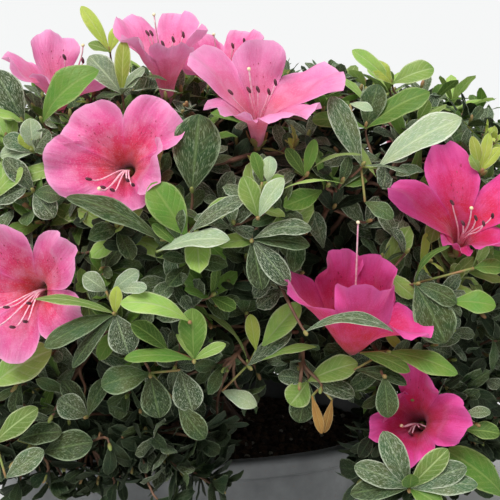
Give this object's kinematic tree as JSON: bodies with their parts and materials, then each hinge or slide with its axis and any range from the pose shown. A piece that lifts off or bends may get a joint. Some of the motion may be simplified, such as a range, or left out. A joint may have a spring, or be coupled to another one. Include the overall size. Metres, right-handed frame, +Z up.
{
  "type": "satsuki azalea bonsai in a pot",
  "caption": "Flowering satsuki azalea bonsai: flared tapering trunk, spreading boughs and a dense dome of small leaves with large pink funnel blooms, in a plain oval pot",
  "frame": {"origin": "the middle of the pot's flat underside", "axes": "+Z is up, +X is the long axis of the oval pot and the wide way of the tree, and the front of the tree faces -Y"},
  "size_m": [0.3197, 0.2848, 0.2607],
  "materials": {
    "glaze": "satin",
    "earth": "matte",
    "bark": "matte",
    "leaves": "satin"
  },
  "bodies": {
    "root": {"pot": "glaze", "soil": "earth", "trunk": "bark", "bough_front_left": "bark", "bough_front_right": "bark", "bough_right": "bark", "bough_back_right": "bark", "bough_back": "bark", "bough_back_left": "bark", "bough_left": "bark", "bough_top_right": "bark", "bough_top_left": "bark", "foliage_front_left": "leaves", "foliage_front_right": "leaves", "foliage_right": "leaves", "foliage_back_right": "leaves", "foliage_back": "leaves", "foliage_back_left": "leaves", "foliage_left": "leaves", "foliage_top_right": "leaves", "foliage_top_left": "leaves", "foliage_top_front": "leaves"}
  },
  "joints": []
}
